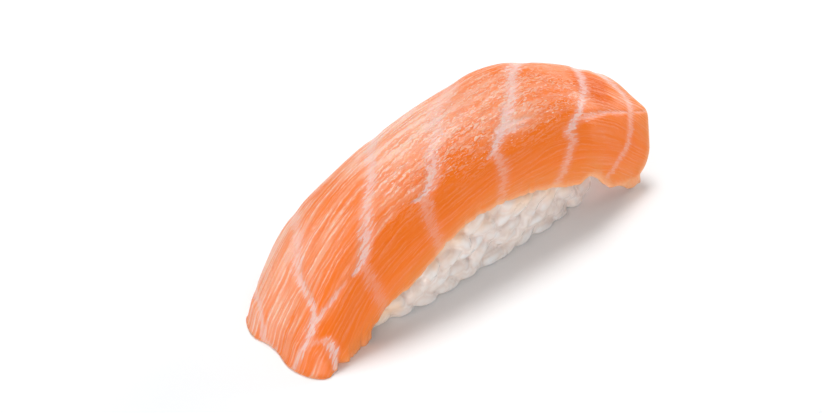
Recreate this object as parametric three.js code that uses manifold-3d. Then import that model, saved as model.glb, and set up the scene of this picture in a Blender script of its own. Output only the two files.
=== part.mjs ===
// Salmon nigiri: a slice of raw salmon draped over a pressed block of cooked rice.
// Millimetres, +Z up. X runs along the slice, -Y is its near side, and z = 0 is the surface it rests on.
import * as THREE from 'three';
import { mergeVertices } from 'three/addons/utils/BufferGeometryUtils.js';
import Module from 'manifold-3d';

const wasm = await Module();
wasm.setup();

// ---- The slice's driving dimensions ----
const sliceLength = 88;
// Values at eight even stations along the slice, from its left end, which lies low, to its right end.
const ridgeHeight = [2.2, 17.3, 25, 28.5, 29.5, 29.2, 23.8, 16.4];
const nearEdgeHeight = [1.2, 2, 8, 13.5, 13.7, 11.2, 5.5, 1];
const farEdgeHeight = [1.2, 5, 8, 10.5, 11, 10, 8, 5];
const nearEdgeReach = [13.3, 11.5, 11.9, 12, 12.5, 13.5, 14.8, 14.6];
const farEdgeReach = [9.7, 13.6, 13.3, 13, 13.5, 14, 13, 10];
// How far each end is cut back, at nine even places from the near corner to the far corner.
const leftEndInset = [3, 1, -0.5, -1.1, 0.2, -0.3, 0.7, 2, 3.2];
const rightEndInset = [6.8, 3, 0.6, 0.7, 0.5, 1.4, 2.2, 3, 4.5];
const archPower = 2.4; // 2 is a round arch, and a higher value squares its shoulders
const middleThickness = 5.2;
const edgeThickness = 1.2;
const leftEndThickness = 1.5;
const rightEndThickness = 3;
const endTaper = 14; // length over which the slice thins out towards each end
const edgeTaperPower = 2.6;
const restingHeight = 1.6; // where the upper face is lower than this, the slice lies on the surface

// A small arch in the near edge, where the slice bridges past the end of the rice.
const edgeArch = { x: 24.2, height: 3.2, halfWidth: 3.2 };

// White fat lines cross the slice as leaning chevrons, and the muscle swells between them. Each bends at a
// kink, and leans by so many millimetres along for each unit across, on its far arm and on its near arm.
const fatLines = [
  { kinkX: -45, kinkAcross: -0.15, farLean: 7, nearLean: 0 },
  { kinkX: -39.5, kinkAcross: -0.33, farLean: 13, nearLean: -30 },
  { kinkX: -29.5, kinkAcross: -0.46, farLean: 21, nearLean: 5 },
  { kinkX: -14.5, kinkAcross: -0.46, farLean: 24, nearLean: 5 },
  { kinkX: 2, kinkAcross: -0.54, farLean: 28, nearLean: -1 },
  { kinkX: 20.5, kinkAcross: -0.63, farLean: 23, nearLean: -13 },
  { kinkX: 41.5, kinkAcross: -0.3, farLean: 6, nearLean: -23 },
];
const fatLineDepth = 0.4;
const fatLineHalfWidth = 1.7;

// ---- The rice's driving dimensions ----
const riceMiddleX = 1.5;
const riceHalfLength = 31;
const riceHalfWidth = 10.6;
const ricePlanPower = 4; // a rounded rectangle seen from above
const riceTopPower = 6; // its upper end corners are rounded less
const gap = 0.3; // between the rice and the slice
const grainLength = 6.2;
const grainWidth = 2.9;
const grainDepth = 2.5;
const grainPitchAlong = 5.1;
const grainPitchUp = 2.7;
const grainSink = 0.35; // how far a grain's middle lies inside the core's wall
const grainClearance = 0.75;
const grainSeed = 7;

// ---- How finely the surfaces are divided ----
const sliceStepsAlong = 60;
const sliceStepsAcross = 22;
const riceRows = 18;
const riceArcSteps = 12;
const grainSides = 5;
const grainRings = 4;

const { lerp, clamp, smoothstep } = THREE.MathUtils;

/** A smooth value through evenly spaced stations, for place from 0 at the first to 1 at the last. */
function atStation(values, place) {
  const last = values.length - 1;
  const span = Math.min(Math.floor(place * last), last - 1);
  const t = place * last - span;
  const p1 = values[span];
  const p2 = values[span + 1];
  const p0 = span > 0 ? values[span - 1] : 2 * p1 - p2;
  const p3 = span + 2 <= last ? values[span + 2] : 2 * p2 - p1;
  const curve = (2 * p0 - 5 * p1 + 4 * p2 - p3) + t * (3 * (p1 - p2) + p3 - p0);
  return p1 + 0.5 * t * ((p2 - p0) + t * curve);
}

/** Falls smoothly from 1 at zero distance towards 0 a few half widths away. */
function bump(distance, halfWidth) {
  return Math.exp(-((distance / halfWidth) ** 2));
}

// ---- The salmon slice ----
// A place on the slice is along, from 0 at its left end to 1 at its right end, and across, from -1 at its
// near edge over 0 at its ridge to 1 at its far edge.

/** A point of the slice's smooth upper face. */
function upperFace(along, across) {
  const endPlace = (across + 1) / 2;
  const left = -sliceLength / 2 + atStation(leftEndInset, endPlace);
  const right = sliceLength / 2 - atStation(rightEndInset, endPlace);
  const x = lerp(left, right, along);
  const near = across < 0;
  const reach = near ? -atStation(nearEdgeReach, along) : atStation(farEdgeReach, along);
  const arch = edgeArch.height * bump(x - edgeArch.x, edgeArch.halfWidth);
  const edge = near ? atStation(nearEdgeHeight, along) + arch : atStation(farEdgeHeight, along);
  const angle = (Math.abs(across) * Math.PI) / 2;
  const out = Math.sin(angle) ** (2 / archPower);
  const up = Math.cos(angle) ** (2 / archPower);
  return new THREE.Vector3(x, reach * out, lerp(edge, atStation(ridgeHeight, along), up));
}

/** The outward direction of the upper face, from small steps along and across it. */
function upperNormal(along, across) {
  const step = 0.01;
  const ahead = upperFace(Math.min(along + step, 1), across);
  const behind = upperFace(Math.max(along - step, 0), across);
  const farther = upperFace(along, Math.min(across + step, 1));
  const nearer = upperFace(along, Math.max(across - step, -1));
  return ahead.sub(behind).cross(farther.sub(nearer)).normalize();
}

/** The slice's thickness: full in the middle, thin at its long edges and at both ends. */
function thickness(along, across) {
  const fromEnd = (Math.min(along, 1 - along) * sliceLength) / endTaper;
  const end = along < 0.5 ? leftEndThickness : rightEndThickness;
  const crown = lerp(end, middleThickness, smoothstep(fromEnd, 0, 1));
  return lerp(crown, edgeThickness, Math.abs(across) ** edgeTaperPower);
}

/** A point of the slice's underside, which lies flat where the slice reaches the surface it rests on. */
function underside(along, across) {
  const top = upperFace(along, across);
  const point = top.clone().addScaledVector(upperNormal(along, across), -thickness(along, across));
  point.z = Math.max(0, point.z * smoothstep(top.z, restingHeight, 2 * restingHeight));
  return point;
}

/** How deep the fat lines' valleys are at one place. */
function valleyDepth(x, across) {
  const depths = fatLines.map((line) => {
    const offset = across - line.kinkAcross;
    const lineX = line.kinkX + (offset > 0 ? line.farLean : -line.nearLean) * offset;
    return bump(x - lineX, fatLineHalfWidth);
  });
  return fatLineDepth * Math.max(...depths);
}

/** A point of the upper face with the fat lines' valleys, which fade out at the slice's rim. */
function relievedFace(along, across) {
  const point = upperFace(along, across);
  const fromRim = Math.min(along, 1 - along) * 12 * (1 - across ** 4);
  const depth = valleyDepth(point.x, across) * clamp(fromRim, 0, 1);
  return point.addScaledVector(upperNormal(along, across), -depth);
}

/** The slice as one closed sheet: upper face, underside, and the rim between them. */
function makeSlice() {
  const points = [];
  const rowLength = sliceStepsAcross + 1;
  for (const face of [relievedFace, underside]) {
    for (let i = 0; i <= sliceStepsAlong; i++) {
      for (let j = 0; j <= sliceStepsAcross; j++) {
        points.push(...face(i / sliceStepsAlong, (2 * j) / sliceStepsAcross - 1));
      }
    }
  }
  const index = (layer, i, j) => (layer * (sliceStepsAlong + 1) + i) * rowLength + j;
  const triangles = [];
  const addQuad = (a, b, c, d) => triangles.push(a, b, c, a, c, d);
  for (let i = 0; i < sliceStepsAlong; i++) {
    for (let j = 0; j < sliceStepsAcross; j++) {
      addQuad(index(0, i, j), index(0, i + 1, j), index(0, i + 1, j + 1), index(0, i, j + 1));
      addQuad(index(1, i, j), index(1, i, j + 1), index(1, i + 1, j + 1), index(1, i + 1, j));
    }
    const far = sliceStepsAcross;
    addQuad(index(0, i, 0), index(1, i, 0), index(1, i + 1, 0), index(0, i + 1, 0));
    addQuad(index(0, i, far), index(0, i + 1, far), index(1, i + 1, far), index(1, i, far));
  }
  for (let j = 0; j < sliceStepsAcross; j++) {
    const right = sliceStepsAlong;
    addQuad(index(0, 0, j), index(0, 0, j + 1), index(1, 0, j + 1), index(1, 0, j));
    addQuad(index(0, right, j), index(1, right, j), index(1, right, j + 1), index(0, right, j + 1));
  }
  return makeGeometry(points, triangles);
}

// ---- The rice block ----

/** A point just under the slice at a given x: the place along the slice is corrected until it lies there. */
function pointUnderSlice(x, across) {
  let along = x / sliceLength + 0.5;
  let point;
  for (let round = 0; round < 4; round++) {
    point = underside(along, across).addScaledVector(upperNormal(along, across), -gap);
    along += (x - point.x) / sliceLength;
  }
  return point;
}

/** One cross-section of the rice core, from the foot of its near wall over the top to its far foot. */
function coreSection(end) {
  const plan = (1 - Math.abs(end) ** ricePlanPower) ** (1 / ricePlanPower);
  const drop = (1 - Math.abs(end) ** riceTopPower) ** (1 / riceTopPower);
  const reach = riceHalfWidth * plan;
  const points = [];
  for (let k = 0; k <= riceArcSteps; k++) {
    const point = pointUnderSlice(riceMiddleX + end * riceHalfLength, (2 * k) / riceArcSteps - 1);
    points.push(new THREE.Vector3(point.x, clamp(point.y, -reach, reach), point.z * drop));
  }
  const nearFoot = points[0].clone().setZ(0);
  const farFoot = points[riceArcSteps].clone().setZ(0);
  return [nearFoot, ...points, farFoot];
}

/** The bare core of the rice, fitted under the slice. */
function makeCore() {
  const points = [];
  const endReach = 0.99;
  for (let i = 0; i <= riceRows; i++) {
    const end = endReach * Math.sin((i / riceRows - 0.5) * Math.PI);
    coreSection(end).forEach((point) => points.push(...point));
  }
  const ring = riceArcSteps + 3;
  const triangles = [];
  for (let i = 0; i < riceRows; i++) {
    for (let j = 0; j < ring; j++) {
      const a = i * ring + j;
      const b = i * ring + ((j + 1) % ring);
      triangles.push(a, a + ring, b + ring, a, b + ring, b);
    }
  }
  const lastRow = riceRows * ring;
  for (let j = 1; j < ring - 1; j++) {
    triangles.push(0, j, j + 1);
    triangles.push(lastRow, lastRow + j + 1, lastRow + j);
  }
  return makeGeometry(points, triangles);
}

/** A seeded source of numbers from 0 to 1. */
function makeRandom(seed) {
  let state = seed;
  return () => {
    state = (state * 1664525 + 1013904223) % 4294967296;
    return state / 4294967296;
  };
}

/** Points spread over the slice's faces, to keep the grains clear of it. */
function sliceSamples() {
  const samples = [];
  for (let i = 0; i <= 100; i++) {
    for (let j = 0; j <= 50; j++) {
      samples.push(underside(i / 100, j / 25 - 1), upperFace(i / 100, j / 25 - 1));
    }
  }
  return samples;
}

/** A point of the core's outline seen from above, by its angle round the block. */
function planPoint(angle) {
  const squared = (value) => Math.sign(value) * Math.abs(value) ** (2 / ricePlanPower);
  const x = riceMiddleX + riceHalfLength * squared(Math.cos(angle));
  return new THREE.Vector2(x, riceHalfWidth * squared(Math.sin(angle)));
}

/** Even steps round the core's outline, the first one start short: each has its place and its way out. */
function wallSteps(start) {
  const outline = [];
  const count = 720;
  for (let i = 0; i < count; i++) {
    outline.push(planPoint((i / count) * 2 * Math.PI));
  }
  const steps = [];
  let walked = start;
  for (let i = 0; i < count; i++) {
    const next = outline[(i + 1) % count];
    const side = next.clone().sub(outline[i]);
    walked += side.length();
    if (walked >= grainPitchAlong) {
      walked -= grainPitchAlong;
      steps.push({ place: next, outward: new THREE.Vector2(side.y, -side.x).normalize() });
    }
  }
  return steps;
}

/** One rice grain: a plump ellipsoid with few sides, a little blunt at its ends. */
function makeGrain(random) {
  const grain = new THREE.SphereGeometry(0.5, grainSides, grainRings);
  const size = 0.88 + 0.24 * random();
  grain.scale(grainWidth * size, grainLength * (0.85 + 0.3 * random()), grainDepth * size);
  return grain;
}

/** The grains that show on the block's walls, in rows that run round it, clear of the slice. */
function makeGrains() {
  const random = makeRandom(grainSeed);
  const samples = sliceSamples();
  const highest = Math.max(...farEdgeHeight, ...nearEdgeHeight) + grainPitchUp;
  const grains = [];
  let start = 0;
  for (let height = grainDepth / 2; height < highest; height += grainPitchUp) {
    start = (start + 0.4 * grainPitchAlong) % grainPitchAlong;
    for (const { place, outward } of wallSteps(start)) {
      const along = new THREE.Vector3(-outward.y, outward.x, 0);
      const out = new THREE.Vector3(outward.x, outward.y, 0.35 * (random() - 0.5)).normalize();
      const lean = (random() - 0.5) * 1.8;
      const axis = along.multiplyScalar(Math.cos(lean)).add(new THREE.Vector3(0, 0, Math.sin(lean)));
      const side = axis.clone().cross(out).normalize();
      const face = side.clone().cross(axis);
      const shift = new THREE.Vector3(place.x, place.y, height + 0.8 * (random() - 0.5));
      shift.addScaledVector(out, -grainSink * (0.6 + 0.8 * random()));
      shift.addScaledVector(side, 0.6 * (random() - 0.5));
      const pose = new THREE.Matrix4().makeBasis(side, axis, face);
      const grain = makeGrain(random).applyMatrix4(pose.setPosition(shift));
      if (isClear(grain, samples)) {
        grains.push(grain);
      }
    }
  }
  return grains;
}

/** Whether every corner of a grain keeps its distance from the slice. */
function isClear(grain, samples) {
  const corners = grain.attributes.position;
  const corner = new THREE.Vector3();
  for (let i = 0; i < corners.count; i++) {
    corner.fromBufferAttribute(corners, i);
    if (samples.some((sample) => sample.distanceTo(corner) < grainClearance)) {
      return false;
    }
  }
  return true;
}

/** The rice: its core with the showing grains fused on, cut level at its base. */
function makeRice() {
  let rice = toSolid(makeCore());
  for (const grain of makeGrains()) {
    rice = rice.add(toSolid(grain));
  }
  const below = new THREE.BoxGeometry(4 * riceHalfLength, 4 * riceHalfLength, grainLength);
  below.translate(0, 0, -grainLength / 2);
  return toGeometry(rice.subtract(toSolid(below)));
}

// ---- Geometry helpers ----

function makeGeometry(points, triangles) {
  const geometry = new THREE.BufferGeometry();
  geometry.setAttribute('position', new THREE.Float32BufferAttribute(points, 3));
  geometry.setIndex(triangles);
  return geometry;
}

/** A closed geometry as a solid that can be joined and cut. */
function toSolid(geometry) {
  const bare = geometry.clone();
  bare.deleteAttribute('normal');
  bare.deleteAttribute('uv');
  const merged = mergeVertices(bare);
  return new wasm.Manifold(new wasm.Mesh({
    numProp: 3,
    vertProperties: new Float32Array(merged.attributes.position.array),
    triVerts: new Uint32Array(merged.index.array),
  }));
}

/** A solid's largest shell as a geometry, so that sealed hollows are filled and loose scraps are dropped. */
function toGeometry(solid) {
  const { vertProperties, triVerts } = solid.getMesh();
  const parents = Array.from({ length: vertProperties.length / 3 }, (_, corner) => corner);
  const shellOf = (corner) => {
    while (parents[corner] !== corner) {
      parents[corner] = parents[parents[corner]];
      corner = parents[corner];
    }
    return corner;
  };
  for (let i = 0; i < triVerts.length; i += 3) {
    parents[shellOf(triVerts[i + 1])] = shellOf(triVerts[i]);
    parents[shellOf(triVerts[i + 2])] = shellOf(triVerts[i]);
  }
  const shells = Map.groupBy(triVerts, shellOf);
  const largest = [...shells.values()].reduce((best, shell) => (shell.length > best.length ? shell : best));
  return mergeVertices(makeGeometry(Array.from(vertProperties), largest).toNonIndexed());
}

function addPiece(group, name, geometry, colour, roughness) {
  geometry.computeVertexNormals();
  const material = new THREE.MeshStandardMaterial({ color: colour, roughness, metalness: 0 });
  const piece = new THREE.Mesh(geometry, material);
  piece.name = name;
  group.add(piece);
}

// ---- The nigiri, with the middle of its base at the origin ----
const nigiri = new THREE.Group();
addPiece(nigiri, 'salmon_slice', makeSlice(), '#ef8350', 0.35);
addPiece(nigiri, 'rice_block', makeRice(), '#dcd6cd', 0.5);
const extent = new THREE.Box3().setFromObject(nigiri);
const middle = extent.getCenter(new THREE.Vector3());
nigiri.children.forEach((piece) => piece.position.set(-middle.x, -middle.y, -extent.min.z));

export default nigiri;
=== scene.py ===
"""Salmon nigiri: a wet slice of raw salmon draped over a pressed block of rice, on a plain pale floor.

Shapes are worked out in millimetres and written to the meshes in metres, in the frame's own axes: X runs
along the slice, -Y is its near side, and z = 0 is the surface that it rests on.
"""

import math

import bpy
import numpy as np
from mathutils import Matrix, Vector, kdtree, noise


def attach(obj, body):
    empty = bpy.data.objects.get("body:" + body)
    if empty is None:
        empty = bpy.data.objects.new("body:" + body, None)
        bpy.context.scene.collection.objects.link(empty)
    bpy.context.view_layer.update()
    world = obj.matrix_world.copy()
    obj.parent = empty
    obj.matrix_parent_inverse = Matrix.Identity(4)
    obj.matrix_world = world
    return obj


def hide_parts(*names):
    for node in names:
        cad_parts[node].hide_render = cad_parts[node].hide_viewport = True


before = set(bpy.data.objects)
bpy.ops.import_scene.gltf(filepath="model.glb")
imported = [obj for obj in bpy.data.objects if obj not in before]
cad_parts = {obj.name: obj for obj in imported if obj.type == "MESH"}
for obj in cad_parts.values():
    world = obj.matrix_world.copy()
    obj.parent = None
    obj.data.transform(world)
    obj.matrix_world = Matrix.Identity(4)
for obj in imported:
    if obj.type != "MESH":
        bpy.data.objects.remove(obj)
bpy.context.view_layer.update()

MM = 0.001
MAP_UNIT = 100  # how many millimetres of the slice one unit of its map of the fibres stands for

# ---- The slice's driving dimensions, in millimetres ----
SLICE_LENGTH = 88
# Values at eight even stations along the slice, from its left end, which lies low, to its right end.
RIDGE_HEIGHT = [2.2, 17.3, 25, 28.5, 29.5, 29.2, 23.8, 16.4]
NEAR_EDGE_HEIGHT = [1.2, 2, 8, 13.5, 13.7, 11.2, 5.5, 1]
FAR_EDGE_HEIGHT = [1.2, 5, 8, 10.5, 11, 10, 8, 5]
NEAR_EDGE_REACH = [13.3, 11.5, 11.9, 12, 12.5, 13.5, 14.8, 14.6]
FAR_EDGE_REACH = [9.7, 13.6, 13.3, 13, 13.5, 14, 13, 10]
# How far each end is cut back, at nine even places from the near corner to the far corner.
LEFT_END_INSET = [3, 1, -0.5, -1.1, 0.2, -0.3, 0.7, 2, 3.2]
RIGHT_END_INSET = [6.8, 3, 0.6, 0.7, 0.5, 1.4, 2.2, 3, 4.5]
ARCH_POWER = 2.4  # 2 is a round arch, and a higher value squares its shoulders
MIDDLE_THICKNESS = 5.2
EDGE_THICKNESS = 1.2
LEFT_END_THICKNESS = 1.5
RIGHT_END_THICKNESS = 3
END_TAPER = 14  # length over which the slice thins out towards each end
EDGE_TAPER_POWER = 2.6
RIGHT_CORNERS = [(-0.46, 0.1, 0.6), (-0.87, 0.15, 1.1)]  # the place across, half width and reach of each
RIGHT_DIP_ACROSS, RIGHT_DIP_HALF_WIDTH, RIGHT_DIP_DEPTH = 0.27, 0.17, 1.1
RIGHT_END_LENGTH = 6  # length over which those corners and that dip fade out
RESTING_HEIGHT = 1.6  # where the upper face is lower than this, the slice lies on the surface
EDGE_ARCH_X, EDGE_ARCH_HEIGHT, EDGE_ARCH_HALF_WIDTH = 24.2, 3.2, 3.2

SLICE_STEPS_ALONG = 240
SLICE_STEPS_ACROSS = 196
VALLEY_DEPTH = 0.28  # of the shallow valleys along the fat lines
FIBRE_RELIEF = 0.09
FIBRE_WAVE = 1.6  # how far the fibres sway sideways
FIBRE_DROP = 7  # how far they turn down towards the right end
FIBRE_DROP_START, FIBRE_DROP_LENGTH = 25, 18  # the x where they start to, and the length that it takes
FLAKE_RELIEF = 0.12
RELIEF_START, RELIEF_FULL = 0.2, 2.5  # how far in from the rim the relief starts, and where it is full
EDGE_WAVER = 0.45  # how far the thin long edges stray in and out
EDGE_NICK = 1.2  # how deep their largest nicks are
EDGE_PULL = 2.5  # how far in from the rim both still pull the faces along
EDGE_BAND = (0.8, 1)  # the places across between which the pull grows to full
# Beside the left end's tongue the near edge is finely torn, and has one deep nick.
TORN_EDGE_X, TORN_EDGE_HALF_LENGTH, TORN_EDGE_DEPTH = -32, 6, 0.7
TONGUE_NICK_X, TONGUE_NICK_HALF_LENGTH, TONGUE_NICK_DEPTH = -38.3, 0.9, 1.3
# Where the near edge is held in and up: x, half length, how far in and how far up.
LIFTED_EDGES = [(-25.5, 3.8, 0.6, 1.1), (36.5, 2.8, 0.0, 0.6)]
LEFT_WEDGE = 3  # length over which the left end thins out
LEFT_WEDGE_POWER = 0.7  # 1 is a smooth wedge, and a lower value makes it fuller
LEFT_END_SETTLE = (0.3, 5)  # between these distances from its left end the slice rises off the surface
FOOT_HEIGHTS = (0.05, 1.5)  # between these heights of the underside the rim rises to mid-thickness
LEAST_FULLNESS = 0.12  # the share of the thickness that is left at the rim itself

# Where the slice's finish changes. Each pair is where it starts to and where it has, by x, or by the place
# down from the ridge (0) to the near edge (1). The near side is smoother, and the thin parts are lighter:
# a painted glow of light through thin flesh.
NEAR_SIDE_X, NEAR_SIDE_DOWN = (-46, -38), (0.25, 0.65)
THIN_X, THIN_DOWN = (36, 43), (0.78, 1)
# The rim's pale line, a painted glow of light through the thin edge, is lost where the edge is sturdy: at the
# left end, and this far left of the middle.
STURDY_LEFT_END, STURDY_LEFT = 1.4, (24, 30)
FLAKY_PATCH = (6, -0.2, 26, 0.37)  # x, the place across, half length and half width across

FAT_LINE_FINENESS = 0.85  # the half widths below are scaled by this
# Each fat line's route over the slice, from its far end to its near end: x, the place across (-1 at the near
# edge, 0 at the ridge, 1 at the far edge), half its width, and how white it is there.
FAT_LINES = [
    [(-37, 0.9, 0.8, 0.4), (-40.3, 0.49, 0.8, 0.5), (-41.1, 0.37, 0.7, 0.5), (-43.3, 0.14, 0.7, 0.6),
     (-44.4, -0.03, 0.6, 0.5)],
    [(-24, 0.85, 1.6, 0.4), (-32.2, 0.21, 1.5, 0.5), (-34.6, 0.11, 1.3, 0.6), (-36.9, -0.03, 1.0, 0.8),
     (-38.8, -0.28, 0.8, 0.9), (-39.7, -0.34, 0.8, 1), (-40.6, -0.35, 0.9, 1), (-42.7, -0.36, 0.8, 1),
     (-45.1, -0.3, 0.6, 0.7)],
    [(-39.8, -0.36, 0.6, 0.9), (-37.1, -0.4, 0.5, 0.8), (-35.1, -0.43, 0.5, 0.7), (-32.4, -0.45, 0.3, 0.15)],
    [(0, 0.95, 1.6, 0.5), (-9.9, 0.44, 1.5, 0.6), (-17.6, 0.05, 1.2, 0.7), (-22.5, -0.11, 1.1, 0.75),
     (-25.9, -0.3, 1.3, 0.85), (-28.4, -0.45, 1.1, 1), (-29.9, -0.48, 0.8, 1), (-31.4, -0.47, 0.3, 0.8)],
    [(-29.2, -0.5, 1.3, 0.35), (-28.5, -0.68, 1.5, 0.25), (-26.6, -0.97, 1.6, 0.2)],
    [(20, 0.95, 2, 0.4), (6.5, 0.28, 2, 0.4), (-1.9, 0.03, 1.8, 0.5), (-8.5, -0.2, 1.5, 0.65),
     (-9.6, -0.3, 1.4, 0.8), (-11.6, -0.41, 1.3, 0.95), (-13.2, -0.46, 0.9, 1), (-15, -0.47, 0.6, 1),
     (-17, -0.44, 0.25, 1)],
    [(-14.5, -0.5, 1.5, 0.4), (-14.9, -0.7, 1.6, 0.3), (-13.2, -0.98, 1.6, 0.25)],
    [(42, 0.7, 1.5, 0.8), (22.3, 0.16, 1.6, 0.85), (15.1, -0.04, 1.3, 0.85), (12.2, -0.16, 1.2, 0.85),
     (9.4, -0.26, 1.3, 0.95), (7.1, -0.36, 1.4, 1), (3.8, -0.48, 1.1, 1), (2.1, -0.54, 0.7, 1),
     (0.3, -0.57, 0.3, 0.8)],
    [(6.5, -0.37, 0.7, 0.9), (9, -0.4, 0.6, 0.8), (12.6, -0.43, 0.3, 0.4)],
    [(5, -0.42, 0.7, 0.9), (7.6, -0.45, 0.6, 0.7), (11.2, -0.48, 0.3, 0.3)],
    [(2.3, -0.57, 1.3, 0.5), (2.8, -0.75, 1.5, 0.35), (1.5, -0.97, 1.4, 0.25)],
    [(40, 0.2, 1.5, 0.85), (33.1, -0.06, 1.2, 0.8), (29.6, -0.23, 1.1, 0.8), (25.7, -0.41, 1, 0.85),
     (23.5, -0.53, 1, 0.95), (21.3, -0.59, 1.1, 1), (19.3, -0.65, 0.9, 0.8)],
    [(19.3, -0.65, 1.2, 0.7), (20.2, -0.71, 1.2, 0.5), (19, -0.77, 1.2, 0.45), (17.3, -0.88, 1.3, 0.4),
     (15.4, -0.97, 1.2, 0.35)],
    [(21.2, -0.59, 1.1, 0.6), (25.2, -0.55, 0.8, 0.5), (30, -0.49, 0.5, 0.55), (34.9, -0.48, 0.4, 0.5),
     (39.4, -0.48, 0.3, 0.4), (44, -0.47, 0.3, 0.3)],
    [(44.3, 0.3, 2, 0.75), (41, -0.04, 1.9, 0.65), (40.3, -0.24, 1.4, 0.6), (39.3, -0.4, 1.2, 0.55),
     (37.2, -0.55, 1.1, 0.45), (34.4, -0.74, 1, 0.4), (31.5, -0.83, 0.9, 0.35), (27.9, -0.95, 0.8, 0.3)],
    [(-42.9, -0.38, 0.5, 0.3), (-41.6, -0.44, 0.5, 0.35), (-40, -0.55, 0.6, 0.5), (-39.6, -0.62, 1, 0.9),
     (-39.4, -0.75, 1.1, 1), (-39.7, -0.9, 0.9, 0.9)],
]

# Where the flesh is paler, partly its own tone and partly a painted sheen of light glancing off the wet top,
# or deeper where the last value is negative, partly painted shade: x, the place across, half length, half
# width across, and how much paler.
TONE_AND_PAINTED_LIGHT_PATCHES = [
    (-36.5, 0.38, 9, 0.5, 0.75),
    (-27, -0.15, 8, 0.25, 0.2),
    (-16, -0.15, 5, 0.25, 0.25),
    (-9, 0.2, 12, 0.4, 1.1),
    (5, 0.0, 9, 0.35, 0.45),
    (15, -0.15, 6, 0.25, 0.3),
    (10, -0.4, 5, 0.1, 0.8),
    (22, 0, 8, 0.25, -0.12),
    (35, -0.1, 5, 0.12, -0.7),
    (41, 0.2, 6, 0.25, 0.8),
    (31.5, -0.27, 5, 0.18, -0.7),
    (-33, -0.62, 12, 0.2, -0.2),
    (-42.5, -0.6, 3, 0.3, 0.25),
]


# ---- Helpers ----


def deselect_all():
    for item in bpy.context.selected_objects:
        item.select_set(False)


def at_station(values, place):
    """A smooth value through evenly spaced stations, for place from 0 at the first to 1 at the last."""
    values = np.asarray(values, float)
    last = len(values) - 1
    before = 2 * values[0] - values[1]
    after = 2 * values[-1] - values[-2]
    padded = np.concatenate(([before], values, [after]))
    span = np.clip(np.floor(np.asarray(place) * last), 0, last - 1).astype(int)
    t = place * last - span
    p0, p1, p2, p3 = (padded[span + step] for step in range(4))
    curve = (2 * p0 - 5 * p1 + 4 * p2 - p3) + t * (3 * (p1 - p2) + p3 - p0)
    return p1 + 0.5 * t * ((p2 - p0) + t * curve)


def smoothstep(value, low, high):
    t = np.clip((value - low) / (high - low), 0, 1)
    return t * t * (3 - 2 * t)


def lerp(start, end, share):
    return start + (end - start) * share


def bell(value, middle, half_width):
    """1 where the value is in the middle, falling to 0 well outside the half width."""
    return np.exp(-(((value - middle) / half_width) ** 2))


def unit(vectors):
    return vectors / np.linalg.norm(vectors, axis=-1, keepdims=True)


def smooth_noise(x, y, layer=0.0):
    """Smooth noise from -1 to 1 at each place, with features about one unit across."""
    places = zip(np.ravel(x), np.ravel(y))
    values = [noise.noise((a, b, layer)) for a, b in places]
    return np.array(values).reshape(np.shape(x))


def read_points(mesh):
    points = np.empty(3 * len(mesh.vertices))
    mesh.vertices.foreach_get("co", points)
    return points.reshape(-1, 3)


def write_points(mesh, points):
    mesh.vertices.foreach_set("co", np.ravel(points).astype(np.float32))
    mesh.update()


def write_attributes(mesh, values_by_name):
    """Values for each point of the mesh, which the materials read by name."""
    for name, values in values_by_name.items():
        layer = mesh.attributes.new(name, "FLOAT", "POINT")
        layer.data.foreach_set("value", np.ravel(values).astype(np.float32))


def shade_smooth(mesh):
    for polygon in mesh.polygons:
        polygon.use_smooth = True


def outward_normals(piece):
    deselect_all()
    piece.select_set(True)
    bpy.context.view_layer.objects.active = piece
    bpy.ops.object.mode_set(mode="EDIT")
    bpy.ops.mesh.select_all(action="SELECT")
    bpy.ops.mesh.normals_make_consistent(inside=False)
    bpy.ops.object.mode_set(mode="OBJECT")


def apply_modifier(piece, name, kind, **settings):
    """One modifier with its settings, added to the active piece and applied."""
    modifier = piece.modifiers.new(name, kind)
    for setting, value in settings.items():
        setattr(modifier, setting, value)
    bpy.ops.object.modifier_apply(modifier=modifier.name)


# ---- The slice's form ----
# A place on the slice is along, from 0 at its left end to 1 at its right end, and across, from -1 at its near
# edge over 0 at its ridge to 1 at its far edge.


def end_places(across):
    """Where the slice's left and right ends are at a place across."""
    end_place = (across + 1) / 2
    left = -SLICE_LENGTH / 2 + at_station(LEFT_END_INSET, end_place)
    right = SLICE_LENGTH / 2 - at_station(RIGHT_END_INSET, end_place)
    return left, right


def upper_face(along, across):
    """Points of the slice's smooth upper face."""
    left, right = end_places(across)
    x = lerp(left, right, along)
    near = across < 0
    reach = np.where(near, -at_station(NEAR_EDGE_REACH, along), at_station(FAR_EDGE_REACH, along))
    arch = EDGE_ARCH_HEIGHT * bell(x, EDGE_ARCH_X, EDGE_ARCH_HALF_WIDTH)
    near_edge = at_station(NEAR_EDGE_HEIGHT, along) + arch
    edge = np.where(near, near_edge, at_station(FAR_EDGE_HEIGHT, along))
    angle = np.abs(across) * math.pi / 2
    out = np.sin(angle) ** (2 / ARCH_POWER)
    up = np.clip(np.cos(angle), 0, 1) ** (2 / ARCH_POWER)
    return np.stack([x, reach * out, lerp(edge, at_station(RIDGE_HEIGHT, along), up)], -1)


def upper_normal(along, across):
    """The outward directions of the upper face, from small steps along and across it."""
    step = 0.01
    ahead = upper_face(np.minimum(along + step, 1), across)
    behind = upper_face(np.maximum(along - step, 0), across)
    farther = upper_face(along, np.minimum(across + step, 1))
    nearer = upper_face(along, np.maximum(across - step, -1))
    return unit(np.cross(ahead - behind, farther - nearer))


def thickness(along, across):
    """The slice's thickness: full in the middle, thin at its long edges and at both ends."""
    from_end = np.minimum(along, 1 - along) * SLICE_LENGTH / END_TAPER
    end = np.where(along < 0.5, LEFT_END_THICKNESS, RIGHT_END_THICKNESS)
    crown = lerp(end, MIDDLE_THICKNESS, smoothstep(from_end, 0, 1))
    return lerp(crown, EDGE_THICKNESS, np.abs(across) ** EDGE_TAPER_POWER)


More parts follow.
